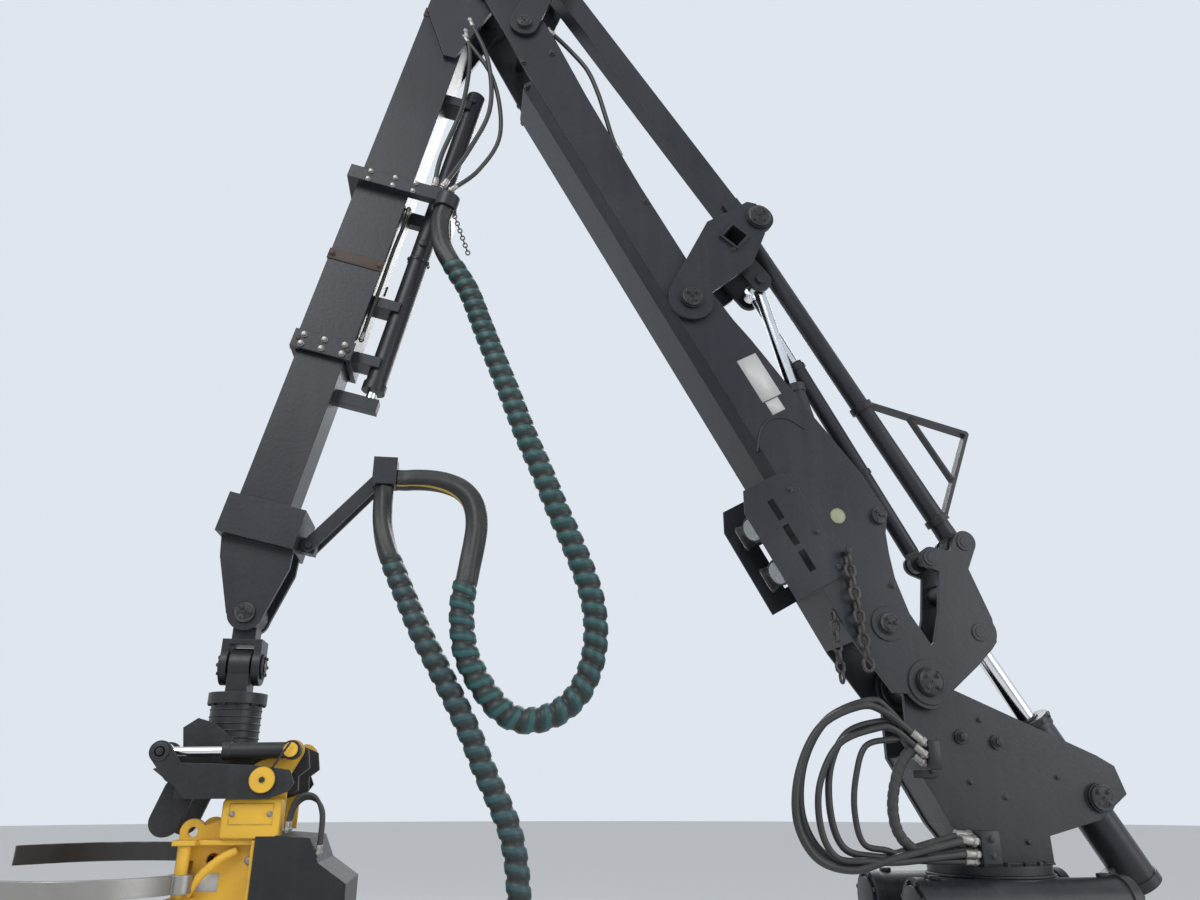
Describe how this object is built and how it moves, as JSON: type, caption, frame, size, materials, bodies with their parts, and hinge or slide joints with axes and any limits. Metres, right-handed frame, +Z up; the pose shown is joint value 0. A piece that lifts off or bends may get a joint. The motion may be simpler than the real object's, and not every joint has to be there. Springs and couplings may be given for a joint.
{
  "type": "forestry harvester crane",
  "caption": "Parallel-linkage forestry crane with slewing base, telescopic stick, rotator and felling head.",
  "frame": {"origin": "centre of the slewing base's underside, at the mounting bolt circle", "axes": "+Z up along the slewing axis, +X along the crane's reach, +Y to the crane's left"},
  "size_m": [4.6226, 1.077, 6.0759],
  "materials": {
    "dark_paint": "satin charcoal paint, dusty, with a slight blue tint",
    "black_paint": "semi-matt black paint",
    "yellow_paint": "satin yellow paint, scuffed at the edges",
    "chrome": "hard chrome, oiled",
    "bare_steel": "ground steel",
    "roller_steel": "worn steel with polished ribs",
    "knife_steel": "yellow paint worn to steel along the edge",
    "hose_wrap": "spiral hose guard, dark teal and black",
    "hose_rubber": "black hose rubber"
  },
  "bodies": {
    "root": {"slew_base": "dark_paint"},
    "pillar": {"pillar": "dark_paint"},
    "rocker": {"rocker": "dark_paint"},
    "lift_barrel": {"lift_barrel": "dark_paint"},
    "lift_rod": {"lift_rod": "chrome"},
    "boom": {"boom": "dark_paint", "lamp_guard": "dark_paint"},
    "lower_rod": {"lower_rod": "dark_paint"},
    "balance_barrel": {"balance_barrel": "dark_paint"},
    "balance_rod": {"balance_rod": "chrome"},
    "swing_barrel": {"swing_barrel": "dark_paint"},
    "swing_rod": {"swing_rod": "chrome"},
    "mid_lever": {"mid_lever": "dark_paint"},
    "upper_rod": {"upper_rod": "dark_paint"},
    "knee_rocker": {"knee_rocker": "dark_paint"},
    "knee_link": {"knee_link": "dark_paint"},
    "stick": {"stick": "dark_paint", "ext_barrel": "dark_paint", "valve_bracket": "dark_paint", "hose_bundle_stick": "hose_wrap"},
    "telescope": {"telescope": "dark_paint", "ext_rod": "chrome", "hose_arm": "dark_paint", "hose_bundle_head": "hose_rubber", "hose_coupling": "dark_paint"},
    "tip_link": {"tip_link": "dark_paint"},
    "rotator": {"rotator": "dark_paint"},
    "rotor": {"rotor": "dark_paint", "tilt_frame": "black_paint"},
    "tilt_barrels": {"tilt_barrels": "dark_paint"},
    "tilt_rods": {"tilt_rods": "chrome"},
    "head": {"head_frame": "yellow_paint", "chute_plate": "yellow_paint", "valve_cover": "black_paint", "saw_box": "black_paint"},
    "saw_bar": {"saw_bar": "bare_steel"},
    "feed_arm_left": {"feed_arm_left": "yellow_paint"},
    "feed_arm_right": {"feed_arm_right": "yellow_paint"},
    "feed_roller_left": {"feed_roller_left": "roller_steel"},
    "feed_roller_right": {"feed_roller_right": "roller_steel"},
    "upper_knife_left": {"upper_knife_left": "knife_steel"},
    "upper_knife_right": {"upper_knife_right": "knife_steel"},
    "lower_knife_left": {"lower_knife_left": "knife_steel"},
    "lower_knife_right": {"lower_knife_right": "knife_steel"}
  },
  "joints": [
    {"name": "slew", "type": "hinge", "parent": "root", "child": "pillar", "pos_m": [0, 0, 0.352], "axis": [0, 0, 1], "range_deg": [-120, 120]},
    {"name": "lift", "type": "hinge", "parent": "pillar", "child": "rocker", "pos_m": [0.245, 0, 1.1], "axis": [0, -1, 0], "range_deg": [-42, 12]},
    {"name": "swing", "type": "hinge", "parent": "rocker", "child": "boom", "pos_m": [0.245, 0, 1.1], "axis": [0, 1, 0], "range_deg": [-5, 42]},
    {"name": "lift_barrel_swing", "type": "hinge", "parent": "pillar", "child": "lift_barrel", "pos_m": [-0.478, 0, 0.64], "axis": [0, -1, 0], "range_deg": [-5.87, 1.82]},
    {"name": "lift_rod_slide", "type": "slide", "parent": "lift_barrel", "child": "lift_rod", "axis": [0.5121, 0, 0.8589], "range_m": [-0.0764, 0.2622]},
    {"name": "mid_lever_turn", "type": "hinge", "parent": "boom", "child": "mid_lever", "pos_m": [1.225, 0, 2.875], "axis": [0, -1, 0], "range_deg": [-5.79, 47.11]},
    {"name": "lower_rod_turn", "type": "hinge", "parent": "rocker", "child": "lower_rod", "pos_m": [-0.055, 0, 1.745], "axis": [0, -1, 0], "range_deg": [-45.85, 5.63]},
    {"name": "balance_barrel_turn", "type": "hinge", "parent": "rocker", "child": "balance_barrel", "pos_m": [0.12, 0, 1.667], "axis": [0, -1, 0], "range_deg": [-54.38, 6.65]},
    {"name": "balance_rod_slide", "type": "slide", "parent": "balance_barrel", "child": "balance_rod", "axis": [0.4617, 0, 0.887], "range_m": [-0.0099, 0.068]},
    {"name": "swing_barrel_turn", "type": "hinge", "parent": "boom", "child": "swing_barrel", "pos_m": [0.403, 0, 1.344], "axis": [0, -1, 0], "range_deg": [-2.05, 0.42]},
    {"name": "swing_rod_slide", "type": "slide", "parent": "swing_barrel", "child": "swing_rod", "axis": [0.2494, 0, 0.9684], "range_m": [-0.3392, 0.0421]},
    {"name": "upper_rod_turn", "type": "hinge", "parent": "mid_lever", "child": "upper_rod", "pos_m": [0.86, 0, 3.37], "axis": [0, -1, 0], "range_deg": [-44.09, 5.42]},
    {"name": "knee_rocker_turn", "type": "hinge", "parent": "boom", "child": "knee_rocker", "pos_m": [2.075, 0, 4.475], "axis": [0, -1, 0], "range_deg": [-7.21, 59.13]},
    {"name": "knee_link_turn", "type": "hinge", "parent": "knee_rocker", "child": "knee_link", "pos_m": [1.9, 0, 4.955], "axis": [0, -1, 0], "range_deg": [-58.92, 7.19]},
    {"name": "stick_turn", "type": "hinge", "parent": "boom", "child": "stick", "pos_m": [2.25454, 0, 4.7253], "axis": [0, -1, 0], "range_deg": [-8.86, 72.9]},
    {"name": "telescope_slide", "type": "slide", "parent": "stick", "child": "telescope", "axis": [0.2147, 0, -0.9767], "range_m": [0, 1.6]},
    {"name": "tip_swing", "type": "hinge", "parent": "telescope", "child": "tip_link", "pos_m": [3.08784, 0, 1.33106], "axis": [0, -1, 0], "range_deg": [-25, 90]},
    {"name": "cross_swing", "type": "hinge", "parent": "tip_link", "child": "rotator", "pos_m": [3.08784, 0, 1.13106], "axis": [1, 0, 0], "range_deg": [-30, 30]},
    {"name": "rotator_turn", "type": "hinge", "parent": "rotator", "child": "rotor", "pos_m": [3.08784, 0, 0.83106], "axis": [0, 0, 1], "continuous": true},
    {"name": "tilt", "type": "hinge", "parent": "rotor", "child": "head", "pos_m": [2.90784, 0, 0.70106], "axis": [0, 1, 0], "range_deg": [0, 75]},
    {"name": "tilt_barrel_turn", "type": "hinge", "parent": "head", "child": "tilt_barrels", "pos_m": [2.82584, 0, 0.80606], "axis": [0, -1, 0], "range_deg": [-0.2, 71.45]},
    {"name": "tilt_rod_slide", "type": "slide", "parent": "tilt_barrels", "child": "tilt_rods", "axis": [0.9997, 0, -0.0224], "range_m": [-0.1591, 0.002]},
    {"name": "saw_swing", "type": "hinge", "parent": "head", "child": "saw_bar", "pos_m": [3.1628, 0.232, -0.7889], "axis": [0, 0, 1], "range_deg": [0, 85]},
    {"name": "feed_arm_left_turn", "type": "hinge", "parent": "head", "child": "feed_arm_left", "pos_m": [3.1478, 0.213, -0.0389], "axis": [0, 0, 1], "range_deg": [-20, 15]},
    {"name": "feed_roller_left_turn", "type": "hinge", "parent": "feed_arm_left", "child": "feed_roller_left", "pos_m": [3.3428, 0.35, -0.0389], "axis": [1, 0, 0], "continuous": true},
    {"name": "upper_knife_left_turn", "type": "hinge", "parent": "head", "child": "upper_knife_left", "pos_m": [3.1478, 0.213, 0.3611], "axis": [0, 0, 1], "range_deg": [-35, 10]},
    {"name": "lower_knife_left_turn", "type": "hinge", "parent": "head", "child": "lower_knife_left", "pos_m": [3.1478, 0.213, -0.3989], "axis": [0, 0, 1], "range_deg": [0, 40]},
    {"name": "feed_arm_right_turn", "type": "hinge", "parent": "head", "child": "feed_arm_right", "pos_m": [3.1478, -0.213, -0.0389], "axis": [0, 0, -1], "range_deg": [-20, 15]},
    {"name": "feed_roller_right_turn", "type": "hinge", "parent": "feed_arm_right", "child": "feed_roller_right", "pos_m": [3.3428, -0.35, -0.0389], "axis": [1, 0, 0], "continuous": true},
    {"name": "upper_knife_right_turn", "type": "hinge", "parent": "head", "child": "upper_knife_right", "pos_m": [3.1478, -0.213, 0.4361], "axis": [0, 0, -1], "range_deg": [-35, 10]},
    {"name": "lower_knife_right_turn", "type": "hinge", "parent": "head", "child": "lower_knife_right", "pos_m": [3.1478, -0.213, -0.4689], "axis": [0, 0, -1], "range_deg": [0, 40]}
  ],
  "couplings": [
    {"joint": "lift_barrel_swing", "follows": "lift", "ratio": 0.135},
    {"joint": "lift_rod_slide", "follows": "lift", "m_per_rad": -0.355},
    {"joint": "mid_lever_turn", "follows": "swing", "ratio": 1.117},
    {"joint": "lower_rod_turn", "follows": "swing", "ratio": -1.087},
    {"joint": "balance_barrel_turn", "follows": "swing", "ratio": -1.29},
    {"joint": "balance_rod_slide", "follows": "swing", "m_per_rad": 0.09},
    {"joint": "swing_barrel_turn", "follows": "swing", "ratio": -0.044},
    {"joint": "swing_rod_slide", "follows": "swing", "m_per_rad": -0.46},
    {"joint": "upper_rod_turn", "follows": "swing", "ratio": -1.045},
    {"joint": "knee_rocker_turn", "follows": "swing", "ratio": 1.403},
    {"joint": "knee_link_turn", "follows": "swing", "ratio": -1.398},
    {"joint": "stick_turn", "follows": "swing", "ratio": 1.731},
    {"joint": "tilt_barrel_turn", "follows": "tilt", "ratio": 0.95},
    {"joint": "tilt_rod_slide", "follows": "tilt", "m_per_rad": -0.12}
  ]
}
